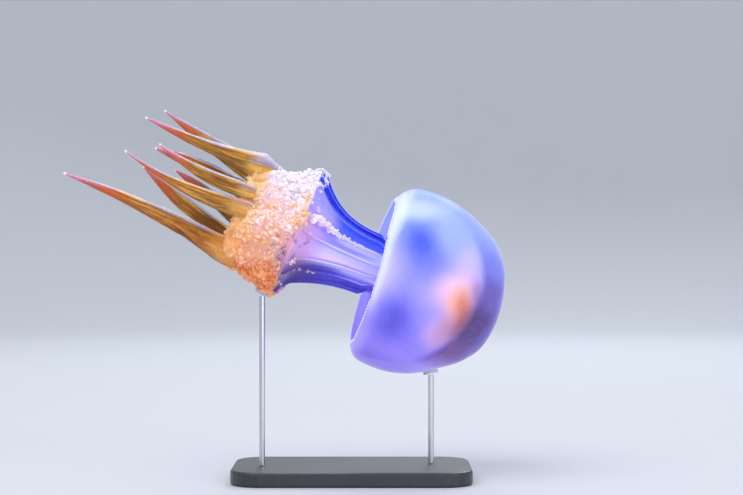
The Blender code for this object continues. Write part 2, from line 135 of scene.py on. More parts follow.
BARE_INSET = 0.0015  # of the bare end of the crown, below the frills
GROOVE = 0.0008  # depth of the grooves between the arms, at the crown's rim
GROOVE_DEEPER = 0.0060  # by its lower end
GROOVE_BARE = 0.0050  # and more than that below the frills
LUMP = 0.0022  # height of the crown's soft lumps
LUMP_SIZE = 0.0085
FINE_LUMP = 0.0006
FINE_LUMP_SIZE = 0.0022
LUMP_SINK = 0.0004
CROWN_REACH = 0.035  # about where the crown's markings are fully the upper or the lower side's

DOME_ROWS = 40  # of the skin's grid
SKIRT_ROWS = 20
INSIDE_ROWS = 16
FILLET_ROWS = 12
ROOT_ROWS = 16
FIN_ROWS = 44
SHOULDER_ROWS = 22
CROWN_ROWS = 56
COLUMNS = 512  # of the skin's grid round the axis: 32 to a scapulet and 4 to a lappet
FIN_COLUMNS = COLUMNS // SCAPULETS
FIN_HALF = 8  # columns from a fin's edge to its root, on either side
TURNS = (np.arange(COLUMNS) - FIN_COLUMNS // 2) * (math.tau / COLUMNS)
# by column: the centre angle of its fin, columns from there, and share of the way out to the fin's edge
FIN_CENTRES = (np.arange(COLUMNS) // FIN_COLUMNS) * (math.tau / SCAPULETS)
FIN_OFFSETS = np.arange(COLUMNS) % FIN_COLUMNS - FIN_COLUMNS // 2
FIN_OUT = np.clip(1.0 - np.abs(FIN_OFFSETS) / FIN_HALF, 0.0, 1.0)


# -------- the animal's frame


def animal_frame():
    """(origin, 3x3 matrix whose columns are the upper, near and axis directions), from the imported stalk."""
    points = np.array([v.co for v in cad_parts["manubrium"].data.vertices])
    middle = points.mean(0)
    _, _, directions = np.linalg.svd(points - middle)
    axis = directions[0] * np.sign(directions[0][0])
    upper = np.array((0.0, 0.0, 1.0)) - axis[2] * axis
    upper /= np.linalg.norm(upper)
    lowest = ((points - middle) @ axis).min()
    origin = middle + axis * (lowest - STALK_LOWEST_Z)
    return origin, np.column_stack((upper, np.cross(axis, upper), axis))


ORIGIN, AXES = animal_frame()


def to_world(points):
    return points @ AXES.T + ORIGIN


# -------- small helpers


def ease(low, high, value):
    """0 below low, 1 above high, and a smooth step between them."""
    share = np.clip((value - low) / (high - low), 0.0, 1.0)
    return share * share * (3.0 - 2.0 * share)


def hump(value, middle, width):
    return np.exp(-(((value - middle) / width) ** 2))


def turn_between(a, b):
    """The signed difference of two angles in radians."""
    return (a - b + math.pi) % math.tau - math.pi


def linear(colour):
    """A linear colour from an sRGB hex one, or a linear one as it is."""
    if not isinstance(colour, str):
        return colour
    value = np.array([int(colour[i : i + 2], 16) / 255 for i in (0, 2, 4)])
    return np.where(value <= 0.04045, value / 12.92, ((value + 0.055) / 1.055) ** 2.4)


def mixed(base, over, amount):
    """base with another colour laid over it by an amount."""
    amount = np.asarray(amount)[..., None]
    return linear(base) * (1.0 - amount) + linear(over) * amount


def layered(colour, *layers):
    """A colour with others laid over it in turn, each given with its amount."""
    for over, amount in layers:
        colour = mixed(colour, over, amount)
    return colour


def noise_at(points, size, octaves=3, place=0.0):
    """Smooth noise from about -1 to 1, with features of the given size."""
    flat = points.reshape(-1, 3) / size + place
    values = [noise.fractal(p, 0.8, 2.1, octaves) for p in flat.tolist()]
    return np.array(values).reshape(points.shape[:-1])


def round_axis(reach, angle, height):
    return np.stack(np.broadcast_arrays(reach * np.cos(angle), reach * np.sin(angle), height), -1)


def angle_of(points):
    return np.arctan2(points[..., 1], points[..., 0])


def round_direction(angle):
    """The direction round the axis at an angle."""
    return np.stack((-np.sin(angle), np.cos(angle), 0 * angle), -1)


def even_turns(count):
    return np.arange(count) * (math.tau / count)


def unit(vectors):
    return vectors / np.linalg.norm(vectors, axis=-1, keepdims=True)


def add_node(tree, kind, inputs=(), **settings):
    """A new node with its settings and its inputs set. An input is a value or a socket to link from."""
    made = tree.nodes.new(kind)
    for key, value in settings.items():
        setattr(made, key, value)
    for key, value in dict(inputs).items():
        if isinstance(value, bpy.types.NodeSocket):
            tree.links.new(value, made.inputs[key])
        else:
            made.inputs[key].default_value = value
    return made


def set_shader(shader, **values):
    for key, value in values.items():
        shader.inputs[key.replace("_", " ")].default_value = value


def add_object(name, data):
    obj = bpy.data.objects.new(name, data)
    bpy.context.scene.collection.objects.link(obj)
    return obj


def new_object(name, points, faces, tints, looks, face_looks=None, frills_uv=None):
    """A smooth mesh object with the attribute tint. faces has an array for each kind of face."""
    mesh = bpy.data.meshes.new(name)
    mesh.vertices.add(len(points))
    mesh.vertices.foreach_set("co", points.astype(np.float32).ravel())
    loops = np.concatenate([kind.ravel() for kind in faces]).astype(np.int32)
    mesh.loops.add(len(loops))
    mesh.loops.foreach_set("vertex_index", loops)
    corners = np.concatenate([np.full(len(kind), kind.shape[1]) for kind in faces])
    mesh.polygons.add(len(corners))
    mesh.polygons.foreach_set("loop_start", (np.cumsum(corners) - corners).astype(np.int32))
    for look in looks:
        mesh.materials.append(look)
    if face_looks is not None:
        mesh.polygons.foreach_set("material_index", face_looks.astype(np.int32))
    if frills_uv is not None:
        layer = mesh.uv_layers.new(name="OFBake")
        layer.data.foreach_set("uv", frills_uv.astype(np.float32)[loops].ravel())
    colours = np.column_stack((tints, np.ones(len(points)))).astype(np.float32)
    tint = mesh.color_attributes.new("tint", "FLOAT_COLOR", "POINT")
    tint.data.foreach_set("color", colours.ravel())
    mesh.update(calc_edges=True)
    mesh.validate()
    mesh.shade_smooth()
    return add_object(name, mesh)


# -------- bell


def skirt_edge(angle):
    """How far down the skirt the scalloped margin reaches, as a share of its length."""
    scallop = 1.0 - np.abs(np.sin(angle * LAPPETS / 2))
    organ = hump(turn_between(angle * 8, math.pi), 0.0, 0.22)
    return 1.0 - (LAPPET_DEPTH * scallop + NOTCH_DEPTH * organ) / (WIDEST_Z - MARGIN_Z)


def margin_height(angle):
    dip = hump(np.abs(turn_between(angle, 0.0)), math.radians(MARGIN_DIP_TURN), math.radians(20))
    return MARGIN_Z - MARGIN_SLANT * np.cos(angle) - MARGIN_DIP * dip


def dome_ring(share):
    """A ring of the dome's outside, from its top at share 0 to the widest ring at share 1."""
    turn = share * math.pi / 2
    blunt = DOME_BLUNT * math.sin(4 * turn) * math.cos(turn)
    reach = (BELL_RADIUS - BELL_OFF * np.cos(TURNS)) * (math.sin(turn) + blunt)
    rise = math.cos(turn)
    ring = round_axis(reach, TURNS, WIDEST_Z + DOME_HEIGHT * rise)
    ring[:, 0] += DOME_LEAN * hump(rise, 0.66, 0.16) - APEX_OFF * ease(0.85, 1.0, rise)
    return ring


def ceiling_ring(share):
    """A ring of the dome's inside, an even part of an ellipse."""
    turn = share * math.pi / 2
    reach = (BELL_RADIUS - BELL_OFF * np.cos(TURNS) * share - WAIST_JELLY) * math.sin(turn)
    return round_axis(reach, TURNS, WIDEST_Z + (DOME_HEIGHT - CROWN_JELLY) * math.cos(turn))


def jelly_at(share):
    """Thickness of the skirt at a share of its length."""
    return WAIST_JELLY + (EDGE_JELLY - WAIST_JELLY) * share


def skirt_ring(share, inset=0.0, lengthen=0.0):
    """A ring of the skirt, set in by a thickness, with the scallops growing towards the margin."""
    bulge = 0.25 + 0.75 * np.cos(TURNS) ** 2
    power = 2.0 + FULLNESS * bulge
    reached = share * (1.0 - (1.0 - skirt_edge(TURNS)) * ease(0.86, 1.0, share))
    drop = reached * (WIDEST_Z - margin_height(TURNS))
    drawn = (1.0 - (drop / SKIRT_HEIGHT) ** power) ** (1.0 / power)
    reach = (BELL_RADIUS - BELL_OFF * np.cos(TURNS)) * drawn - MARGIN_CURL * bulge * reached**6 - inset
    return round_axis(reach, TURNS, WIDEST_Z - drop - lengthen)


def bell_outside():
    rings = [dome_ring(share) for share in np.linspace(0.02, 1.0, DOME_ROWS)]
    rings += [skirt_ring(share) for share in np.linspace(0.05, 0.97, SKIRT_ROWS)]
    return rings


def margin_lip():
    """The rounded edge of the margin, from the outside to the inside."""
    rings = []
    for turn in np.radians((0, 35, 70, 110, 145, 180)):
        inset = EDGE_JELLY * 0.5 * (1 - math.cos(turn))
        rings.append(skirt_ring(1.0, inset=inset, lengthen=LIP_ROUND * math.sin(turn)))
    return rings


def bell_inside():
    rings = [skirt_ring(share, inset=jelly_at(share)) for share in np.linspace(0.96, 0.0, INSIDE_ROWS)]
    rings += [ceiling_ring(share) for share in np.linspace(0.95, ROOT_SHARE, INSIDE_ROWS)]
    return rings


# -------- stalk, scapulets and crown


def pillar(angle):
    """1 on the four pillars that join the stalk to the bell, and 0 at the ports between them."""
    return 0.5 + 0.5 * np.cos(4 * angle)


def stalk_root():
    """From the bell's ceiling round a fillet, down between the pillars to the even stalk."""
    start = ceiling_ring(ROOT_SHARE)
    spread = pillar(TURNS)
    end = round_axis(STALK_RADIUS + ROOT_SWELL + PILLAR_SWELL * spread, TURNS, ROOT_END_Z)
    knee_reach = STALK_RADIUS + KNEE_SWELL + KNEE_PILLAR_SWELL * spread
    knee = round_axis(knee_reach, TURNS, KNEE_Z - KNEE_PILLAR_DROP * spread)
    rings = []
    for share in np.linspace(0.08, 1.0, FILLET_ROWS):
        rings.append((1 - share) ** 2 * start + 2 * share * (1 - share) * knee + share**2 * end)
    for z in np.linspace(ROOT_END_Z - 0.002, 0.001, ROOT_ROWS):
        fade = ease(0.0, ROOT_END_Z, z)
        reach = STALK_RADIUS + ROOT_SWELL * fade + PILLAR_SWELL * spread * fade
        share = 1.0 - fade
        rings.append(round_axis(reach, TURNS * (1 - share) + gear_turns() * share, z))
    return rings


def gear_turns():
    """Angles of the columns where they crowd towards the scapulets."""
    half = math.pi / SCAPULETS
    root = FIN_ROOT / STALK_RADIUS
    away = np.abs(FIN_OFFSETS)
    valley = root + (half - root) * (away - FIN_HALF) / FIN_HALF
    return FIN_CENTRES + np.sign(FIN_OFFSETS) * np.where(away <= FIN_HALF, root * away / FIN_HALF, valley)


def fin_edge(share, angle):
    """How far a fin's edge reaches: an even curve on the upper side, and a late flare below."""
    upper = 0.5 + 0.5 * np.cos(angle)
    even = min(1.0, FIN_EARLY * share) ** FIN_SWEEP
    flared = FIN_GENTLE * share**FIN_GENTLE_SWEEP + (1.0 - FIN_GENTLE) * share**FIN_FLARE
    return FIN_ROOT_REACH + (FIN_TIP_REACH - FIN_ROOT_REACH) * (upper * even + (1.0 - upper) * flared)


def gear_ring(root_reach, root_z, tip_reach, tip_z):
    """A section across the stalk and its sixteen scapulets."""
    on_fin = FIN_OUT > 0
    along = 1.0 - (1.0 - FIN_OUT) ** 1.15
    web = FIN_WEB + FIN_SWELL * (1.0 - FIN_OUT) ** 6
    bead = FIN_BEAD * np.sqrt(np.clip(1.0 - ((FIN_OUT - FIN_BEAD_AT) / (1.0 - FIN_BEAD_AT)) ** 2, 0.0, 1.0))
    half = np.maximum(web * (FIN_OUT < FIN_BEAD_AT), bead)
    reach = np.where(on_fin, root_reach + (tip_reach - root_reach) * along, root_reach)
    pair = np.where((np.arange(COLUMNS) // FIN_COLUMNS) % 2, 1.0, -1.0)
    grown = np.clip((reach - STALK_RADIUS) / (FIN_TIP_REACH - STALK_RADIUS), 0.0, 1.0)
    lean = math.radians(FIN_LEAN) * pair * grown
    angle = np.where(on_fin, FIN_CENTRES + lean, gear_turns())
    points = round_axis(reach, angle, root_z + (tip_z - root_z) * np.where(on_fin, along, 0.0))
    return points + round_direction(angle) * (np.sign(FIN_OFFSETS) * half * on_fin)[:, None]


def stalk_reach(z):
    """Radius of the stalk below the bell, which widens like a trumpet."""
    trumpet = max(0.0, (STALK_TRUMPET_Z - z) / (STALK_TRUMPET_Z - STALK_END_Z))
    return STALK_RADIUS + (STALK_END_RADIUS - STALK_RADIUS) * trumpet**STALK_TRUMPET


def stalk_and_fins():
    rings = []
    for share in np.linspace(0.0, 1.0, FIN_ROWS):
        root_z = FIN_TOP_Z + (STALK_END_Z - FIN_TOP_Z) * share
        reach = stalk_reach(root_z)
        tip = reach + (fin_edge(share, FIN_CENTRES) - reach) * ease(-0.02, 0.10, share)
        flare = (FIN_TIP_Z - STALK_END_Z) * (tip - STALK_END_RADIUS) / (FIN_TIP_REACH - STALK_END_RADIUS)
        even_z = FIN_TOP_Z + (FIN_TIP_Z - FIN_TOP_Z) * share
        tip_z = np.maximum(even_z, STALK_END_Z + flare + FIN_LIFT * (1.0 - share))
        rings.append(gear_ring(reach, root_z, tip, tip_z))
    return rings


def shoulder():
    """The valleys between the fins spread outwards over the arms, up to the crown's rim."""
    rings = []
    rim_z, rim_reach = CROWN_OUTSIDE[0, :2]
    tips = np.full(COLUMNS, FIN_TIP_REACH)
    for share in np.linspace(0.04, 0.98, SHOULDER_ROWS):
        root_z = STALK_END_Z + (rim_z - STALK_END_Z) * share**0.8
        root_reach = STALK_END_RADIUS + (rim_reach - 0.0006 - STALK_END_RADIUS) * share
        rings.append(gear_ring(root_reach, root_z, tips, FIN_TIP_Z - 0.0004 * share))
    return rings


def arm_groove(angle):
    """1 along the grooves between neighbouring arms, and 0 on the arms."""
    middles = np.radians([arm[0] for arm in ARMS])
    after = np.roll(middles, -1)
    after[-1] += math.tau
    grooves = (middles + after) / 2
    return np.max([hump(turn_between(angle, groove), 0.0, 0.12) for groove in grooves], axis=0)


def crown():
    """The crown's outside and its hollow underside, smooth."""
    heights, reaches, drawn = CROWN_OUTSIDE.T
    above = np.maximum(np.cos(TURNS), 0.0) ** 2
    rings = []
    groove = arm_groove(TURNS)
    start = rim_turns()
    for z in np.linspace(CROWN_OUTSIDE[0, 0] - 0.0006, ARM_END_Z, CROWN_ROWS):
        down = (heights[0] - z) / (heights[0] - ARM_END_Z)
        reach = np.interp(-z, -heights, reaches) * (1.0 - above * np.interp(-z, -heights, drawn))
        reach = reach - COAT_DEPTH * ease(0.0, 0.06, down)
        bare = ease(0.0, -0.004, z - FRILLS_END_Z - FRILLS_SLANT * np.cos(TURNS))
        depth = GROOVE + GROOVE_DEEPER * down**1.5 + GROOVE_BARE * bare
        reach = reach - groove * depth - BARE_INSET * bare
        straight = ease(0.0, 0.15, down)
        rings.append(round_axis(reach, start * (1 - straight) + TURNS * straight, z))
    rim = reaches[-1] * (1.0 - above * drawn[-1]) - COAT_DEPTH - groove * 0.0058
    for share, drop in CROWN_UNDER:
        rings.append(round_axis(rim * share, TURNS, ARM_END_Z - drop * (1 - 0.5 * groove)))
    return rings


def rim_turns():
    """Angles of the last gear ring's columns, so that the crown starts without a twist."""
    last = gear_ring(CROWN_OUTSIDE[0, 1] - 0.0012, 0.0, np.full(COLUMNS, FIN_TIP_REACH), 0.0)
    return TURNS + turn_between(angle_of(last), TURNS)


def roughened(rings):
    """The crown's rings pushed in and out into soft lumps."""
    points = np.array(rings)
    start = frills_start(angle_of(points))
    down = ease(start + 0.001, start - 0.005, points[..., 2])
    lumps = LUMP * noise_at(points, LUMP_SIZE, 3, 3.0)
    lumps = lumps + FINE_LUMP * noise_at(points, FINE_LUMP_SIZE, 2, 9.0) - LUMP_SINK
    flat = points.copy()
    flat[..., 2] = (flat[..., 2] + 0.066) * 0.5
    return points + unit(flat) * (lumps * down)[..., None]


# -------- clubs

CLUB_AROUND = 72
CLUB_ALONG = 99
CLUB_SUNK = 0.14  # share of its length that a club reaches into the crown
TIP_BEAD_AT = 0.978  # share along a club where the white bead at its end begins
TIP_BEAD = 0.00045  # radius where it begins
TIP_BEAD_SWELL = 0.0003
TIP_BEAD_ROUND = 0.0004
RIDGES = 0.14  # heights as shares of a club's half width
FOLDS = 0.10
WANDER = 0.05
FIBRES = 0.055


def club_width(share, fullness):
    """Half width at a share of the way from a club's root to its end."""
    along = np.clip(share, 0.0, 1.0)
    left = 1.0 - along
    at_end, in_middle, at_root = fullness
    return TIP_END_RADIUS + left * (at_end * along**2 + 2 * in_middle * along * left + at_root * left**2)


def arm_line(index, share):
    """Points along the middle of an arm's club."""
    turn, end, bow = ARMS[index][:3]
    turn = math.radians(turn)
    root = np.array((CLUB_ROOT_REACH * math.cos(turn), CLUB_ROOT_REACH * math.sin(turn), ARM_END_Z))
    point = root + (np.array(end) - root) * share[:, None]
    swell = 4 * share * (1 - share)
    point[:, 0] += bow[0] * swell
    point[:, 1] += bow[1] * swell
    return point


def club(index):
    """(points, share along, angle round, folds, fibres) of a club's grid, its root sunk in the crown."""
    share = np.concatenate((np.linspace(-CLUB_SUNK, 0.97, CLUB_ALONG - 9), np.linspace(0.976, 1.0, 9)))
    line = arm_line(index, share)
    length = np.linalg.norm(line[-1] - line[0])
    share, turn = np.meshgrid(share, even_turns(CLUB_AROUND), indexing="ij")
    width = club_width(share, ARMS[index][3]) * (1.0 - 0.45 * ease(0.0, -CLUB_SUNK, share))
    bead = np.clip((share - TIP_BEAD_AT) / (1.0 - TIP_BEAD_AT), 0.0, 1.0)
    round_end = TIP_BEAD + TIP_BEAD_SWELL * np.sin(math.pi * bead) - TIP_BEAD_ROUND * bead**3
    width = np.where(bead > 0, round_end, width)
    ridges = np.cos(3 * turn)
    sharp = 0.5 * (ridges + np.sign(ridges) * np.abs(ridges) ** 2.5)

    def drawn_out(around, size, apart):
        """Places for noise that is stretched along the club."""
        return round_axis(around, turn, share * length / size + apart * index)

    fibres = noise_at(drawn_out(6.5, 0.022, 5.0), 1.0, 3, 31.0)
    folds = noise_at(drawn_out(2.6, 0.030, 7.0), 1.0, 4, 5.0)
    wander = noise_at(drawn_out(2.6, 0.030, 7.0) * np.array((0.4, 0.4, 1.6)), 1.0, 2, 11.0)
    fade = 1.0 - ease(0.75, 1.0, share)
    relief = RIDGES * sharp + FOLDS * folds + WANDER * wander + FIBRES * fibres
    reach = width * (1.0 + relief * fade)
    twist = turn + 0.35 * share + 0.25 * wander * fade
    points = round_axis(reach, twist, 0.0) + line[:, None, :]
    return points, share, turn, folds, fibres


# -------- markings, with some painted light and shade among them


def patch(points, upper, z, across, along, slant=0.0):
    """1 at a place on both flanks, given by how far up and how high it is in mm, and fading round it."""
    out, up = 1000 * points[..., 0] - upper, 1000 * points[..., 2] - z
    turn = math.radians(slant)
    first = (out * math.cos(turn) + up * math.sin(turn)) / across
    second = (up * math.cos(turn) - out * math.sin(turn)) / along
    return np.exp(-((first**2 + second**2) ** 1.25))


def jelly_base(points):
    """Blue on the upper side, lavender in the middle and violet below. The blue on the upper side is partly
    painted light from above, and the darker blue at the upper rim is painted shade where the sheen brightens
    it.
    """
    upper = 1000 * points[..., 0]
    return layered(
        "a29ff8",
        # painted light: bluer on the upper side, where light falls from above
        ("9db2fb", ease(2, 34, upper)),
        # painted shade: darker blue at the upper rim, which the sheen brightens
        ("7496f3", ease(38, 49, upper)),
        ("958af2", ease(-6, -30, upper)),
        ("ae9afb", ease(-28, -40, upper)),
        ("a083fa", ease(-40, -49, upper)),
    )


def bell_organs(colour, points):
    """What shows through either flank: dark ports beside the stalk, and a pink halo with an orange gonad."""
    marks = (  # (colour, amount, how far up, how high, size across and along, slant)
        ("4e63f0", 0.95, 20, 10.5, 10, 13, 35),
        ("7480f4", 0.6, 10, 18, 8, 7, 0),
        ("6a63d6", 0.95, -22, 12.5, 11.5, 9.0, -10),
        ("cfc6fb", 0.85, -2, -2, 12, 8, 0),
        ("a4b4fb", 0.6, 31, 24, 9, 10, 0),
        ("cabef8", 0.85, 21, 38, 9, 7.5, -10),
        ("ecc8ec", 1.0, 5, 36, 13.5, 8.5, 48),
        ("d2b2e6", 0.9, -21, 36.5, 10, 8, 6),
        ("c08cb0", 0.85, -14, 41.5, 11, 6.0, 20),
        ("f6baae", 1.0, -0.5, 40, 10, 7.5, 20),
        ("d88468", 0.9, -3.5, 44, 9.0, 4.8, -20),
        ("a072b0", 0.7, 7, 48.5, 7, 3.5, -30),
        ("a0526e", 0.85, -10, 48, 12, 4.0, 10),
    )
    return layered(colour, *((tint, amount * patch(points, *shape)) for tint, amount, *shape in marks))


def thick_jelly(colour, points):
    """The cap of thick jelly over the hollow dome, blue above and dark violet below."""
    upper, z = 1000 * points[..., 0], 1000 * points[..., 2]
    beyond = np.hypot(upper + 1, z - 3)
    cap = layered(
        "6a56b4",
        ("7a80e2", ease(10, 24, upper)),
        ("94a8f4", ease(24, 40, upper)),
        ("4c2876", ease(8, -5, upper)),
        ("6e3e8c", ease(-14, -28, upper)),
        ("8f6cca", ease(-28, -37, upper)),
        ("6e5ad2", 0.75 * ease(55, 66, beyond) * ease(24, 8, upper)),
    )
    below = 1.5 * ease(12, 0, upper)
    return mixed(colour, cap, ease(46.0 - below, 51.0 - below, beyond) * ease(-42, -34, upper))


def above_margin(points):
    return points[..., 2] - margin_height(angle_of(points))


def bell_tint(points):
    """Colour of the bell's outer jelly, with painted shade at the upper rim, a painted highlight high on the
    upper side, and a pale band along the margin that is a painted highlight on its lip.
    """
    upper = 1000 * points[..., 0]
    wide = 0.0050 + 0.0045 * ease(12, 34, upper)
    return layered(
        thick_jelly(bell_organs(jelly_base(points), points), points),
        # painted shade: darker blue at the upper rim, which the sheen brightens
        ("6288ee", 0.8 * patch(points, 48, 7, 4, 12)),
        # painted highlight: a pale crescent high on the upper side, where light falls from above
        ("cfe0fd", 0.95 * patch(points, 36.0, 2.5, 5.5, 15, -22)),
        # painted highlight along the margin's lip, strongest on the upper side and middle
        ("eaeefe", ease(wide, 0.2 * wide, above_margin(points)) * (0.1 + 0.72 * ease(-30, -8, upper))),
    )


def inside_tint(points):
    """Colour of the bell's inner wall, darker than outside as painted shade in the bell's hollow, and pale
    near the margin.
    """
    blue = ease(-10, 25, 1000 * points[..., 0])
    return layered(
        # painted shade: the inner wall is darkened towards violet-blue
        bell_organs(mixed(jelly_base(points), "6a5cd8", 0.4), points),
        # painted shade: darkest low in the bell's hollow
        (mixed("4a46c4", "3c52dc", blue), 0.8 * ease(0.020, 0.010, points[..., 2])),
        (mixed("b2a4e0", "b9cbf8", blue), 0.95 * ease(0.0075, 0.0045, above_margin(points))),
    )


def flank_flesh(points):
    """The flanks' smooth flesh: lavender on the stalk, through mauve and pink, to peach on the crown."""
    z = points[..., 2]
    return layered(
        "c4aaf0",
        ("cfa6d8", ease(-0.036, -0.045, z)),
        ("d6a2b2", ease(-0.047, -0.055, z)),
        ("9c76a4", 0.5 * ease(-0.22, -0.48, np.cos(angle_of(points)))),
        ("e09c7c", ease(-0.057, -0.068, z)),
    )


def stalk_tint(points, out):
    """Milky lavender between webs with pale rims, blue above, with a warm streak and violet below."""
    angle = angle_of(points)
    upper = np.cos(angle)
    z = points[..., 2]
    later = 0.15 * ease(-0.034, -0.012, z)
    high = ease(0.42, 0.54, upper)
    down = ease(-0.006, -0.022, z)
    near_crown = ease(-0.028, -0.040, z) * ease(0.84, 0.76, upper)
    web = ease(0.05, 0.35, out) * (1 - ease(0.80, 0.9, out))
    edge = ease(0.80, 0.94, out)
    streaks = noise_at(round_axis(7.0, angle, z / 0.04), 1.0, 3)
    warm = hump(upper, -0.34 - 0.5 * later, 0.15)
    top = layered("4058e4", ("1424a8", ease(0.84, 0.93, upper)), ("a8a2ee", near_crown))
    rim = layered("cfcdff", ("4a64ee", 0.9 * ease(0.55, 0.65, upper)), ("93a2fb", ease(0.955, 0.985, upper)))
    violet = layered(
        "5a50d0",
        ("3c3084", ease(-0.020, -0.048, z)),
        ("7c5c92", 0.7 * ease(-0.040, -0.046, z) * ease(-0.90, -0.70, upper)),
        ("382f9c", 0.5 * web),
        ("b0a8ee", edge * ease(-0.955, -0.985, upper)),
    )
    colour = layered(
        "d4d0fe",
        ("958fee", down * ease(-0.12, 0.22, upper)),
        (mixed("4860e6", "aca4f0", near_crown), 0.95 * high),
        ("7a80f0", np.clip(1.4 * (streaks - 0.12), 0, 0.6)),
        ("f3d6f6", 0.9 * warm * ease(0.004, -0.012, z) * ease(-0.046, -0.034, z)),
        ("eaae96", 0.7 * hump(upper, -0.42, 0.05) * hump(z, -0.014, 0.004)),
        (mixed(mixed("a6a2f6", "958fee", down), top, high), 0.92 * web),
        (rim, edge),
        ("dcdefe", 0.8 * hump(upper, 0.30, 0.09) * ease(-0.036, -0.024, z)),
        (flank_flesh(points), ease(-0.030, -0.046, z) * ease(0.55, 0.15, upper)),
        (violet, 0.95 * ease(-0.42, -0.66, upper + later)),
    )
    return pitted(colour, points)


def pitted(colour, points):
    """Dark pits in the smooth flesh of the flanks, next to the crown."""
    z = points[..., 2]
    where = hump(np.cos(angle_of(points)), -0.30, 0.22) * ease(-0.037, -0.045, z) * ease(-0.066, -0.058, z)
    pits = ease(0.30, 0.42, noise_at(points, 0.0030, 2, 77.0))
    return mixed(colour, "4c3a80", 0.9 * where * pits)


def frills_start(angle):
    """How high the frills begin. The flanks are bare further down."""
    return FRILLS_START_Z - BARE_FLANK * hump(np.cos(angle), -0.30, 0.33)


def crown_tint(points):
    """White and lavender on the upper side, pink and peach on the flanks, and orange below."""
    upper = points[..., 0] / CROWN_REACH
    z = points[..., 2]
    place = upper + 0.30 * noise_at(points, 0.0100, 2, 21.0)
    near_rim = hump(upper, 0.36, 0.24) * hump(z, -0.053, 0.0045)
    warm = ease(0.20, 0.50, noise_at(points, 0.0080, 2, 40.0) + 0.35 * near_rim) * ease(0.85, 0.4, upper)
    pale = ease(0.15, 0.45, noise_at(points, 0.0060, 2, 64.0))
    pale = pale * hump(z, -0.058, 0.008) * ease(-0.6, 0.0, upper)
    cool = ease(0.25, 0.50, noise_at(points, 0.0050, 2, 90.0) + 0.15 * ease(0.7, 0.95, upper))
    cool = cool * ease(-0.2, 0.5, upper)
    bare = ease(-0.0040, 0.0030, z - frills_start(angle_of(points))) * ease(0.60, 0.30, np.abs(upper + 0.3))
    flaps = ease(-0.0725, -0.0790, z + 0.0022 * noise_at(points, 0.0050, 2, 17.0) + 0.0030 * np.abs(upper))
    hollow = ease(-0.056, -0.049, z) * ease(0.036, 0.026, np.hypot(points[..., 0], points[..., 1]))
    colour = layered(
        "f2cac8",
        ("e6dcf0", ease(0.25, 0.75, place)),
        ("eeb294", ease(0.15, -0.35, place)),
        ("dd7a40", ease(-0.45, -0.95, place)),
        ("f4b474", 0.85 * warm),
        ("fbe9ec", 0.8 * pale),
        ("b9b4e4", 0.6 * cool),
        (flank_flesh(points), bare),
        (mixed("f0b678", "dfb45e", ease(-0.2, 0.5, upper)), 0.8 * flaps),
        ("c4b0f0", 0.8 * hollow),
    )
    return pitted(colour, points)


def club_tint(share, turn, folds, fibres, index):
    """Ochre with brown creases, fine yellow fibres, a pale upper ridge that is a painted highlight, painted
    shade near the roots of the far lower clubs, and a pink tip with a white end.
    """
    low = 0.5 - 0.5 * math.cos(math.radians(ARMS[index][0]))
    far = ease(0.0, -0.015, ARMS[index][1][1])
    high, near = 1 - low, 1 - far
    up = np.cos(turn)
    under = ease(0.1, -0.9, up)
    redden = share + 0.05 * folds + 0.05 * fibres
    pink = 1 - 0.7 * far * low
    # painted highlight: the colour of the pale upper ridge, bluer on the far upper clubs
    ridge = mixed(mixed("f4e0c0", "c0caf4", ease(0.3, -0.2, folds)), "94a2e6", 0.8 * far * high)
    edge = ease(0.74, 0.97, np.cos(turn + 0.10)) * (1 - ease(0.70, 0.92, share))
    root = ease(0.14, 0.02, share + 0.07 * folds + 0.05 * fibres)
    return layered(
        "a66e1c",
        ("b85a22", (0.45 + 0.45 * under) * low**2 * near),
        ("84702e", 0.60 * ease(0.55, 0.05, share) * ease(0.9, -0.2, up) * high),
        # painted shade: dark olive near the roots of the far lower clubs
        ("4e421e", 0.85 * ease(0.55, 0.20, share) * far * low),
        ("74361c", 0.6 * hump(share, 0.42, 0.20) * under * low**2 * near),
        ("7c4a1c", 0.75 * ease(-0.05, -0.45, folds)),
        ("6c4118", 0.70 * ease(-0.10, -0.45, fibres)),
        ("d8a648", 0.6 * ease(0.15, 0.55, fibres)),
        ("e4bc68", 0.45 * ease(0.15, 0.55, folds)),
        ("c0602a", ease(0.56, 0.74, redden + 0.06 * under)),
        ("bc5c56", pink * ease(0.72, 0.86, redden)),
        ("c886a0", pink * ease(0.80, 0.94, redden)),
        ("d8a8cc", 0.7 * pink * ease(0.2, 0.9, up) * ease(0.66, 0.88, share)),
        # the painted highlight laid along the upper ridge
        (ridge, 0.85 * edge),
        ("fbe6f0", ease(0.970, 0.985, share)),
        ("ecbc5c", 0.8 * root * near * ease(0.4, -0.2, up) * high),
        ("f0b05c", 0.85 * root * near * ease(-1.2, 0.0, up) * low),
        ("b9bce8", 0.7 * root * high**2 * ease(0.0, 0.7, up)),
    )


# -------- materials

JELLY_ALPHA = 0.72


def object_place(tree, scale):
    """Object coordinates, which here are world ones, scaled along each axis."""
    coords = add_node(tree, "ShaderNodeTexCoord").outputs["Object"]
    return add_node(tree, "ShaderNodeMapping", {"Vector": coords, "Scale": scale}).outputs["Vector"]


def mottled(tree, colour, scale, amount, other, stretch):
    """A colour varied with noise towards another by up to an amount."""
    vector = object_place(tree, stretch)
    grain = add_node(tree, "ShaderNodeTexNoise", {"Vector": vector, "Scale": scale, "Detail": 4.0})
    inputs = {0: grain.outputs["Fac"], 1: 0.45, 2: 0.75, 3: 0.0, 4: amount}
    share = add_node(tree, "ShaderNodeMapRange", inputs).outputs[0]
    inputs = {"Factor": share, 6: colour, 7: (*other, 1.0)}
    return add_node(tree, "ShaderNodeMix", inputs, data_type="RGBA").outputs[2]


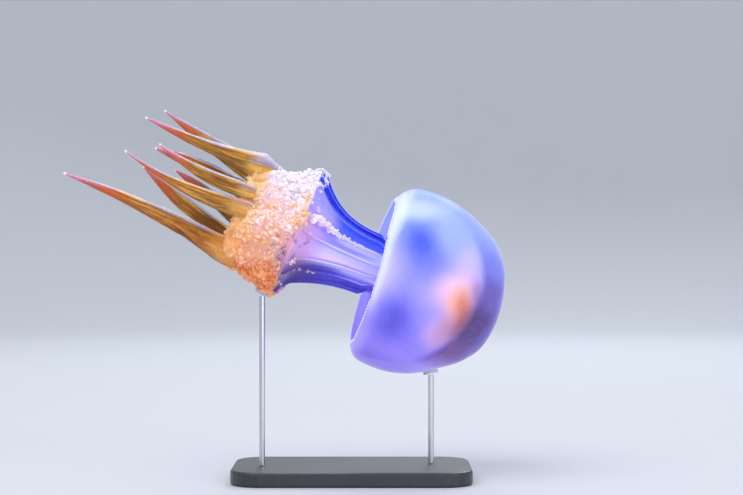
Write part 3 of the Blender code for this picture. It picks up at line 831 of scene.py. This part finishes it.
def bumped(tree, shader, scale, strength, distance=0.001):
    vector = object_place(tree, (1, 1, 1))
    grain = add_node(tree, "ShaderNodeTexNoise", {"Vector": vector, "Scale": scale, "Detail": 3.0})
    inputs = {"Height": grain.outputs["Fac"], "Strength": strength, "Distance": distance}
    bump = add_node(tree, "ShaderNodeBump", inputs)
    tree.links.new(bump.outputs["Normal"], shader.inputs["Normal"])


def new_look(name, own, scale, amount, other, stretch=(1, 1, 1), painted_glow=None, bump=None, **values):
    """A look of its own colour, or of the mesh's tint where that is None, mottled towards another. Flesh also
    sends out its colour as emission, painted light that stands in for the light it lets through, so it is
    never dark in its own shade."""
    made = bpy.data.materials.new(name)
    made.use_nodes = True
    tree = made.node_tree
    shader = tree.nodes["Principled BSDF"]
    if own is None:
        base = add_node(tree, "ShaderNodeAttribute", attribute_name="tint").outputs["Color"]
    else:
        base = add_node(tree, "ShaderNodeRGB").outputs[0]
        base.default_value = (*own, 1.0)
    colour = mottled(tree, base, scale, amount, linear(other), stretch)
    tree.links.new(colour, shader.inputs["Base Color"])
    # painted light: the colour is also sent out as emission, which lifts the shaded side
    if painted_glow is not None:
        tree.links.new(colour, shader.inputs["Emission Color"])
        set_shader(shader, Emission_Strength=painted_glow)
    set_shader(shader, **values)
    if bump is not None:
        bumped(tree, shader, *bump)
    return made


def skin_looks():
    """The looks of the bell's outside, its inside, the stalk, the crown and the clubs."""
    # each look's emission strength is painted light that lifts its shade
    return (
        new_look(
            "bell_jelly_look", None, 260.0, 0.05, "e4e0ff", painted_glow=0.22, bump=(260.0, 0.05),
            Roughness=0.30, IOR=1.12, Alpha=JELLY_ALPHA, Coat_Weight=0.12, Coat_Roughness=0.25,
            Subsurface_Weight=0.6, Subsurface_Radius=(0.9, 0.9, 1.0), Subsurface_Scale=0.003,
            Sheen_Weight=1.0, Sheen_Roughness=0.22, Sheen_Tint=(0.85, 0.85, 1.0, 1.0),
        ),
        new_look(
            "bell_inside_look", None, 500.0, 0.15, "dcd6ff", painted_glow=0.40, bump=(320.0, 0.15),
            Roughness=0.45, IOR=1.34,
        ),
        new_look(
            "stalk_look", None, 700.0, 0.06, "e6ddff", painted_glow=0.22, bump=(500.0, 0.15),
            Roughness=0.35, IOR=1.2, Coat_Weight=0.15, Coat_Roughness=0.2,
            Subsurface_Weight=0.8, Subsurface_Radius=(0.8, 0.8, 1.0), Subsurface_Scale=0.002,
        ),
        new_look(
            "crown_look", None, 420.0, 0.25, "e09a70", painted_glow=0.2, bump=(900.0, 0.5),
            Roughness=0.5, IOR=1.35,
            Subsurface_Weight=1.0, Subsurface_Radius=(1.0, 0.6, 0.5), Subsurface_Scale=0.0015,
        ),
        new_look(
            "club_look", None, 900.0, 0.35, "7a4b16", painted_glow=0.08, bump=(1200.0, 0.25),
            Roughness=0.42, IOR=1.33, Coat_Weight=0.15, Coat_Roughness=0.2,
            Subsurface_Weight=1.0, Subsurface_Radius=(1.0, 0.55, 0.25), Subsurface_Scale=0.0012,
        ),
    )


def frill_look():
    # its emission strength is painted light that lifts the frills' shade
    return new_look(
        "frill_look", None, 700.0, 0.12, "f0b090", painted_glow=0.2, Roughness=0.5, IOR=1.30,
        Subsurface_Weight=1.0, Subsurface_Radius=(1.0, 0.7, 0.6), Subsurface_Scale=0.0040,
    )


# -------- the skin


def grid_faces(rows, columns, first=0):
    """Quads over a grid that closes round its columns."""
    row, column = np.meshgrid(np.arange(rows - 1), np.arange(columns), indexing="ij")
    here, below = row * columns, (row + 1) * columns
    following = (column + 1) % columns
    corners = np.stack((here + column, here + following, below + following, below + column), -1)
    return corners.reshape(-1, 4) + first


def body_grid():
    """(rings, look of each ring, rows of each section) from the bell's top to under the crown."""
    lumpy = roughened(crown())
    sections = (
        ("outside", 0, bell_outside()),
        ("lip", 1, margin_lip()),
        ("inside", 1, bell_inside()),
        ("root", 2, stalk_root()),
        ("fins", 2, stalk_and_fins()),
        ("shoulder", 2, shoulder()),
        ("crown", 3, lumpy[:CROWN_ROWS]),
        ("under", 3, lumpy[CROWN_ROWS:]),
    )
    rings = np.concatenate([np.array(part) for _, _, part in sections])
    looks = np.concatenate([np.full(len(part), look) for _, look, part in sections])
    ends = np.cumsum([len(part) for _, _, part in sections])
    rows = {name: (end - len(part), end) for (name, _, part), end in zip(sections, ends)}
    return rings, looks, rows


def body_tints(rings, looks, rows):
    """Colours of the rings, by look."""
    on_fin = np.zeros(rings.shape[:2])
    on_fin[rows["fins"][0] : rows["shoulder"][1]] = FIN_OUT
    tints = np.empty(rings.shape)
    tints[looks == 0] = bell_tint(rings[looks == 0])
    tints[looks == 1] = inside_tint(rings[looks == 1])
    # painted highlight: the rounded lip of the margin is pale
    tints[rows["lip"][0] + 1 : rows["lip"][1] - 1] = linear("d8d6ff")
    tints[looks == 2] = stalk_tint(rings[looks == 2], on_fin[looks == 2])
    tints[looks == 3] = crown_tint(rings[looks == 3])
    return tints


def add_part(skin, grid, tints, looks, end_tint=None):
    """Adds a grid of rings to the skin's lists, with a point in the middle of each end ring to close it."""
    rows, columns = grid.shape[:2]
    first = sum(len(part) for part in skin["points"])
    skin["points"].append(grid.reshape(-1, 3))
    skin["tints"].append(tints.reshape(-1, 3))
    skin["quads"].append(grid_faces(rows, columns, first))
    skin["quad_looks"].append(np.repeat(looks[:-1], columns))
    for row in (0, rows - 1):
        ring = first + row * columns + np.arange(columns)
        middle = np.full(columns, sum(len(part) for part in skin["points"]))
        skin["points"].append(grid[row].mean(0)[None])
        skin["tints"].append((tints[row].mean(0) if row == 0 or end_tint is None else end_tint)[None])
        skin["triangles"].append(np.stack((ring, np.roll(ring, -1), middle), -1))
        skin["triangle_looks"].append(np.full(columns, looks[row]))


def build_skin():
    """Makes the skin, and gives the rings of its body and the rows of their sections."""
    rings, looks, rows = body_grid()
    skin = {key: [] for key in ("points", "tints", "quads", "quad_looks", "triangles", "triangle_looks")}
    add_part(skin, rings, body_tints(rings, looks, rows), looks)
    for index in range(len(ARMS)):
        grid, *place = club(index)
        add_part(skin, grid, club_tint(*place, index), np.full(CLUB_ALONG, 4), linear("fbe6ea"))
    skin = {key: np.concatenate(parts) for key, parts in skin.items()}
    face_looks = np.concatenate((skin["quad_looks"], skin["triangle_looks"]))
    obj = new_object("skin", to_world(skin["points"]), (skin["quads"], skin["triangles"]), skin["tints"],
                     skin_looks(), face_looks)
    bm = bmesh.new()
    bm.from_mesh(obj.data)
    bmesh.ops.recalc_face_normals(bm, faces=bm.faces)
    bm.to_mesh(obj.data)
    bm.free()
    flesh = [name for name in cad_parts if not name.startswith("stand_")]
    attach(obj, "root")
    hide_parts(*flesh)
    return rings, rows


# -------- frills

FRILL_SIDES = 6
FRILL_RINGS = 7
FRILL_SPACING = 0.00110
CURL_LENGTH = 0.0022
CURL_LIFT = 0.0009
CURL_RADIUS = 0.00052
CURL_SINK = 0.0006  # of a curl's ends into the skin
FINGER_LENGTH = 0.0022
FINGER_RADIUS = 0.00055
RAGGED = 0.0012  # spread of the heights where the frills start and end
UNDER_REACH = 0.021  # under the crown, frills lie only within this of the axis
FRINGE_COLUMNS = 5  # from a fin's edge to the inside of its fringe
UV_PATCH = 0.003
# (scapulet, where along it the fringe starts, tufts, width)
FRINGED_FINS = (
    (3, 0.24, 240, 0.0042), (13, 0.24, 240, 0.0042), (6, 0.66, 12, 0.0010), (10, 0.66, 12, 0.0010),
    (0, 0.94, 40, 0.0030), (1, 0.92, 50, 0.0036), (2, 0.90, 50, 0.0036), (4, 0.90, 50, 0.0036),
    (5, 0.95, 16, 0.0020), (7, 0.96, 14, 0.0024), (8, 0.96, 14, 0.0024), (9, 0.96, 14, 0.0024),
    (11, 0.95, 16, 0.0020), (12, 0.90, 50, 0.0036), (14, 0.90, 50, 0.0036), (15, 0.92, 50, 0.0036),
)


def swept(centres, radii, ups):
    """Points of tubes round centre lines, for each tuft and ring. ups has a direction for each tuft."""
    along = unit(np.gradient(centres, axis=1))
    side = unit(np.cross(along, ups[:, None, :]) + 1e-9)
    over = np.cross(side, along)
    turn = even_turns(FRILL_SIDES)
    ring = side[:, :, None, :] * np.cos(turn)[:, None] + over[:, :, None, :] * np.sin(turn)[:, None]
    return centres[:, :, None, :] + ring * radii[:, :, None, None]


def tube_faces(count):
    """Quads of closed tubes, the ends closed with two quads each."""
    size = FRILL_RINGS * FRILL_SIDES
    body = grid_faces(FRILL_RINGS, FRILL_SIDES)
    first_end = np.array([(3, 2, 1, 0), (5, 4, 3, 0)])
    last_end = np.array([(0, 1, 2, 3), (0, 3, 4, 5)]) + size - FRILL_SIDES
    one = np.concatenate((body, first_end, last_end))
    return (one[None] + (np.arange(count) * size)[:, None, None]).reshape(-1, 4)


def curls(roots, normals, rng, length, lift, radius):
    """Curled folds that arch over the surface, each a bent tube with swellings, in any direction."""
    count = len(roots)
    share = np.linspace(0.0, 1.0, FRILL_RINGS)
    some = unit(np.cross(normals, unit(rng.normal(size=(count, 3)))))
    other = np.cross(normals, some)
    size = length * rng.uniform(0.6, 1.4, count)
    high = lift * rng.uniform(0.4, 1.6, count)
    bend = size * rng.uniform(-0.8, 0.8, count)
    arch = np.sin(math.pi * share) ** 0.8
    centres = roots[:, None] + some[:, None] * (size[:, None] * (share - 0.5))[..., None]
    centres = centres + normals[:, None] * (high[:, None] * arch - CURL_SINK)[..., None]
    centres = centres + other[:, None] * (bend[:, None] * 4 * share * (1 - share))[..., None]
    phase = rng.uniform(0, math.tau, (count, 1))
    swell = 1.0 + 0.25 * np.sin(7.0 * share + phase)
    thick = radius * rng.uniform(0.7, 1.3, (count, 1)) * (0.35 + 0.65 * arch) * swell
    return swept(centres, thick, normals)


def fingers(roots, directions, normals, rng, length, radius):
    """Tapering points that stand out along their directions."""
    count = len(roots)
    share = np.linspace(0.0, 1.0, FRILL_RINGS)
    size = length * rng.uniform(0.6, 1.4, count)
    bend = size[:, None] * rng.normal(0.0, 0.22, (count, 3))
    centres = roots[:, None] + (directions * size[:, None])[:, None] * (share - 0.15)[:, None]
    centres = centres + bend[:, None] * (share**2)[:, None]
    thick = radius * rng.uniform(0.7, 1.3, (count, 1)) * (1.06 - share) ** 0.7
    return swept(centres, thick, normals + 0.3 * unit(bend))


def surface_samples(rings, first, last, spacing, rng):
    """(row, column) of places at even jittered spacing over some rows of the skin's grid."""
    rows_at, columns_at = [], []
    reach = np.linalg.norm(rings[:, 0] - rings[:, COLUMNS // 2], axis=-1) / 2
    step = np.linalg.norm(np.diff(rings[:, ::16], axis=0), axis=-1).mean(-1)
    travelled = np.concatenate(([0.0], np.cumsum(step[first:last])))
    for at in np.arange(0.5 * spacing, travelled[-1], spacing):
        row = first + np.interp(at, travelled, np.arange(len(travelled)))
        count = max(6, int(math.tau * np.interp(row, np.arange(len(rings)), reach) / spacing))
        column = (np.arange(count) + rng.uniform(-0.5, 0.5, count)) * COLUMNS / count
        rows_at.append(np.clip(row + rng.uniform(-0.4, 0.4, count), first, last - 1.001))
        columns_at.append(column % COLUMNS)
    return np.concatenate(rows_at), np.concatenate(columns_at)


def place_on(rings, row, column):
    """(points, outward normals) at fractional rows and columns of a ring grid."""
    r0, c0 = np.floor(row).astype(int), np.floor(column).astype(int)
    fr, fc = (row - r0)[:, None], (column - c0)[:, None]
    c0, c1 = c0 % COLUMNS, (c0 + 1) % COLUMNS
    a, b, c, d = rings[r0, c0], rings[r0, c1], rings[r0 + 1, c0], rings[r0 + 1, c1]
    point = (a * (1 - fc) + b * fc) * (1 - fr) + (c * (1 - fc) + d * fc) * fr
    around, down = b + d - a - c, c + d - a - b
    return point, unit(np.cross(down, around))


def frill_piece(name, points, tints, uv, look):
    """A joined mesh of tufts: (tufts, rings, sides, 3) points, a colour and a root UV for each tuft."""
    tip = np.linspace(0, 1, FRILL_RINGS)
    place = np.stack(np.meshgrid(tip, np.linspace(0, 1, FRILL_SIDES), indexing="ij"), -1)
    spread = uv[:, None, None, :] * (1 - UV_PATCH) + UV_PATCH * place
    # painted light and shade: each tuft is lighter along its middle and darker towards its ends
    lighter = (np.sin(math.pi * tip) ** 2)[None, :, None]
    shade = tints[:, None] * (0.86 + 0.14 * lighter) + 0.07 * lighter
    colour = np.repeat(shade[:, :, None], FRILL_SIDES, axis=2).reshape(-1, 3)
    obj = new_object(name, to_world(points.reshape(-1, 3)), (tube_faces(len(points)),), colour, (look,),
                     frills_uv=spread.reshape(-1, 2))
    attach(obj, "root")


def curl_mix(roots, normals, rng, size=1.0):
    """Curls of many sizes: mostly small, with some large puffs."""
    scale = size * np.clip(np.exp(rng.normal(0.0, 0.35, len(roots))), 0.45, 1.7)
    return curls(roots, normals, rng, CURL_LENGTH * scale, CURL_LIFT * scale, (CURL_RADIUS * scale)[:, None])


def crown_frills(rings, rows, rng):
    """(points, colour, UV, angle) of the crown's curls and points, a row of each array to a tuft."""
    first, last = rows["shoulder"][0] + 3, rows["under"][1] - 3
    row, column = surface_samples(rings, first, last, FRILL_SPACING, rng)
    roots, normals = place_on(rings, row, column)
    angle = angle_of(roots)
    under = row > rows["under"][0] + 1
    shoulder = row < rows["shoulder"][1]
    end = FRILLS_END_Z + FRILLS_SLANT * np.cos(angle) + RAGGED * rng.normal(size=len(roots))
    ragged = noise_at(roots, 0.0050, 2, 60.0) > 0.05
    start = frills_start(angle) + RAGGED * rng.normal(size=len(roots))
    begun = np.where(shoulder, ragged & (frills_start(angle) > FRILLS_START_Z - 0.002), roots[:, 2] < start)
    upper = roots[:, 0] / CROWN_REACH
    smooth = 0.5 * hump(upper, -0.55, 0.30) * hump(roots[:, 2], -0.068, 0.008)
    clumped = noise_at(roots, 0.0042, 2, 140.0) > -0.22 + smooth
    inner = under & (np.hypot(roots[:, 0], roots[:, 1]) < UNDER_REACH)
    keep = (inner | (~under & (roots[:, 2] > end))) & begun & clumped
    row, column, roots, normals, angle = (part[keep] for part in (row, column, roots, normals, angle))
    tints = crown_tint(roots)
    shift = rng.normal(0.0, 0.035, (len(roots), 1)) + rng.normal(0.0, 0.015, (len(roots), 3))
    tints = np.clip(tints * (1.0 + shift), 0.0, 1.0)
    low = ease(0.004, -0.002, roots[:, 2] - FRILLS_END_Z - FRILLS_SLANT * np.cos(angle))
    sharp = rng.uniform(size=len(roots)) < 0.05 + 0.40 * low
    down = unit(0.7 * normals[sharp] + np.array((0.0, 0.0, -0.9)))
    shapes = np.empty((len(roots), FRILL_RINGS, FRILL_SIDES, 3))
    shapes[~sharp] = curl_mix(roots[~sharp], normals[~sharp], rng)
    shapes[sharp] = fingers(roots[sharp], down, normals[sharp], rng, FINGER_LENGTH, FINGER_RADIUS)
    uv = np.column_stack((column / COLUMNS, (row - first) / (last - first)))
    return shapes, tints, uv, angle


def scapulet_frills(rings, rows, rng):
    """Granular fringes along the scapulets' outer edges: two long ones of big puffs, and short ones."""
    parts = []
    first, last = rows["fins"]
    for fin, start, count, spread in FRINGED_FINS:
        column = fin * FIN_COLUMNS + FIN_COLUMNS // 2
        long = float(start < 0.5)
        edge, web = rings[first:last, column], rings[first:last, column - FRINGE_COLUMNS]
        share = start + (1.0 - start) * rng.uniform(size=count)
        at = share * (last - first - 1.001)
        low, part = np.floor(at).astype(int), (at % 1.0)[:, None]
        rim = edge[low] * (1 - part) + edge[low + 1] * part
        inner = web[low] * (1 - part) + web[low + 1] * part
        inward = unit(inner - rim)
        angle = angle_of(rim)
        wide = spread * (0.35 + 0.65 * share)
        sideways = round_direction(angle)
        clumps = noise_at(np.column_stack((share * 9.0, 0 * share + fin, 0 * share)), 1.0, 1, 0.5) > -0.12
        roots = rim + inward * (wide * rng.uniform(-0.1, 1.0, count))[:, None]
        roots = roots + np.array((0.0014, 0.0, 0.0)) * long * ease(0.5, 0.9, share)[:, None]
        side = np.where(rng.uniform(size=count) < 0.5, 1.0, -1.0)[:, None]
        roots = roots + sideways * side * 0.0004
        normals = unit(0.5 * sideways * side - 0.7 * inward + 0.3 * rng.normal(size=(count, 3)))
        tints = layered(
            crown_tint(np.column_stack((roots[:, :2] * 1.15, roots[:, 2] - 0.02))),
            ("f4f0ff", 0.5 * ease(-0.75, -0.55, np.cos(angle))),
            ("8470b8", 0.7 * ease(-0.6, -0.9, np.cos(angle))),
        )
        shapes = curl_mix(roots, normals, rng, 0.55 + 0.55 * long * ease(0.4, 0.95, share))
        uv = np.column_stack((column / COLUMNS + 0 * share, share))
        parts.append([part[clumps] for part in (shapes, tints, uv, angle)])
    return [np.concatenate(part) for part in zip(*parts)]


def build_frills(rings, rows):
    """The coat of frills, one piece to each oral arm, and one of the scapulets' fringes."""
    rng = np.random.default_rng(7)
    look = frill_look()
    shapes, tints, uv, angle = crown_frills(rings, rows, rng)
    turns = np.degrees(angle)
    own = np.argmin([np.abs((turns - arm[0] + 180) % 360 - 180) for arm in ARMS], axis=0)
    for arm in range(len(ARMS)):
        mine = own == arm
        frill_piece(f"frills_{arm + 1}", shapes[mine], tints[mine], uv[mine], look)
    shapes, tints, uv, _ = scapulet_frills(rings, rows, rng)
    frill_piece("scapulet_fringes", shapes, tints, uv, look)


rings, rows = build_skin()
build_frills(rings, rows)


# -------- stand


def stand_looks():
    looks = {
        "base": new_look("base_paint_look", (0.022, 0.024, 0.029), 240.0, 0.5, (0.035, 0.037, 0.043),
                         bump=(1600.0, 0.12, 0.0004), Roughness=0.42, Coat_Weight=0.2, Coat_Roughness=0.25),
        "rod": new_look("rod_steel_look", (0.62, 0.62, 0.64), 900.0, 0.6, (0.50, 0.50, 0.53),
                        stretch=(1, 1, 0.05), bump=(2200.0, 0.1, 0.0003), Metallic=1.0, Roughness=0.28),
        "pad": new_look("pad_look", (0.62, 0.63, 0.66), 600.0, 0.5, (0.52, 0.53, 0.57),
                        bump=(900.0, 0.1, 0.0003), Roughness=0.45),
    }
    for name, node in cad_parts.items():
        if name.startswith("stand_"):
            for place in node.material_slots:
                place.material = looks[name.split("_")[1]]


stand_looks()


# -------- stage, lights and camera


def make_stage():
    """A pale floor that curves up into a pale wall all round."""
    flat, bend, wall = 1.7, 0.9, 1.2
    profile = [(0.02 * flat, 0.0), (0.3 * flat, 0.0), (flat, 0.0)]
    for step in range(1, 13):
        turn = math.radians(90 * step / 12)
        profile.append((flat + bend * math.sin(turn), bend * (1 - math.cos(turn))))
    profile.append((flat + bend, bend + wall))
    around = 96
    points = np.concatenate([round_axis(reach, even_turns(around), z) for reach, z in profile])
    fan = [(column, (column + 1) % around, len(points)) for column in range(around)]
    faces = grid_faces(len(profile), around).tolist() + fan
    mesh = bpy.data.meshes.new("floor")
    mesh.from_pydata(points.tolist() + [(0.0, 0.0, 0.0)], [], faces)
    mesh.shade_smooth()
    look = new_look("floor_look", (0.62, 0.64, 0.68), 2.0, 0.5, (0.60, 0.62, 0.66), Roughness=0.85)
    mesh.materials.append(look)
    add_object("floor", mesh)
    world = bpy.data.worlds.new("studio")
    bpy.context.scene.world = world
    world.use_nodes = True
    set_shader(world.node_tree.nodes["Background"], Color=(0.90, 0.94, 1.0, 1.0), Strength=0.68)


def area_light(name, place, target, size, power, colour):
    data = bpy.data.lights.new(name, "AREA")
    data.shape = "DISK"
    data.size = size
    data.energy = power
    data.color = colour
    lamp = add_object(name, data)
    lamp.visible_camera = False
    lamp.location = place
    lamp.rotation_euler = (Vector(target) - Vector(place)).to_track_quat("-Z", "Y").to_euler()


def make_lights():
    middle = (0.0, 0.0, 0.12)
    area_light("key", (-0.7, -0.9, 1.7), middle, 1.6, 21.0, (0.96, 0.98, 1.0))
    area_light("fill", (1.3, -1.2, 0.6), middle, 1.4, 8.0, (1.0, 0.96, 0.94))
    area_light("back", (0.3, 1.4, 1.3), middle, 1.2, 14.0, (0.92, 0.95, 1.0))
    area_light("low", (0.2, -0.8, 0.03), middle, 0.7, 2.0, (0.94, 0.92, 1.0))


def make_camera():
    data = bpy.data.cameras.new("camera")
    data.sensor_width = 36.0
    data.lens = 85.0
    camera = add_object("camera", data)
    camera.location = (0.0107, -0.961, 0.1268)
    camera.rotation_euler = (math.radians(90), 0, 0)
    bpy.context.scene.camera = camera


make_stage()
make_lights()
make_camera()
bpy.context.scene.view_settings.view_transform = "Standard"
